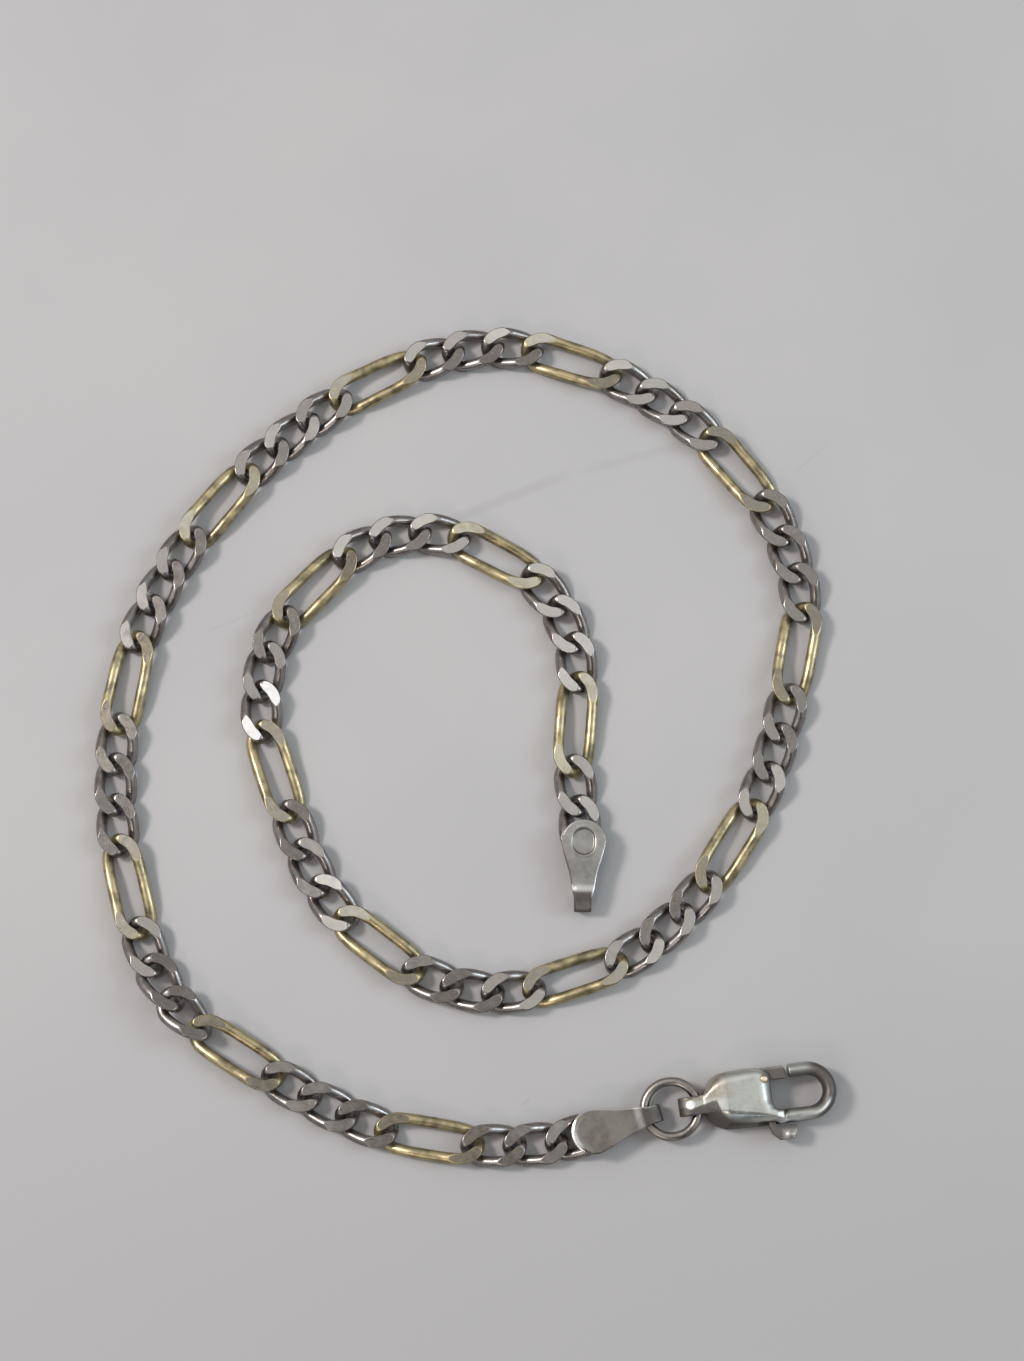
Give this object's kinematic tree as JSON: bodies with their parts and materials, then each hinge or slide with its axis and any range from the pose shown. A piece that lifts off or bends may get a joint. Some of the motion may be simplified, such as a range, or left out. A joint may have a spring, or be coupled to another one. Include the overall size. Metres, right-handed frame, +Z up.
{
  "type": "link bracelet",
  "caption": "Flat-ground figaro chain bracelet in silver and gold tones, open in a spiral, with pear-shaped end tags, a jump ring and a lobster clasp.",
  "frame": {"origin": "bottom centre of the laid bracelet's box, on the table's surface", "axes": "+Z up off the table, +X and +Y the right and the top of the picture; the clasp and the outer end lie towards +X at the -Y side"},
  "size_m": [0.0402, 0.0468, 0.0018],
  "materials": {
    "short_link_silver": "satin ground flats on tarnished silver wire",
    "long_link_gilt": "worn pale gilt over silver, satin ground flats",
    "inner_tag_silver": "satin, lightly tarnished",
    "outer_tag_silver": "satin, lightly tarnished",
    "ring_silver": "polished wire, lightly worn",
    "clasp_silver": "satin cast silver",
    "lever_silver": "satin, darker in the slot"
  },
  "bodies": {
    "bracelet": {"short_links": "short_link_silver", "long_links": "long_link_gilt", "inner_end_tag": "inner_tag_silver", "outer_end_tag": "outer_tag_silver", "jump_ring": "ring_silver", "clasp_body": "clasp_silver"},
    "lever": {"clasp_lever": "lever_silver"}
  },
  "joints": [
    {"name": "lever_hinge", "type": "hinge", "parent": "bracelet", "child": "lever", "pos_m": [0.01618, -0.0188, 0.0009], "axis": [0, 0, -1], "range_deg": [0, 40], "stiffness_Nm_per_rad": 0.002, "springref_deg": -20.05}
  ]
}
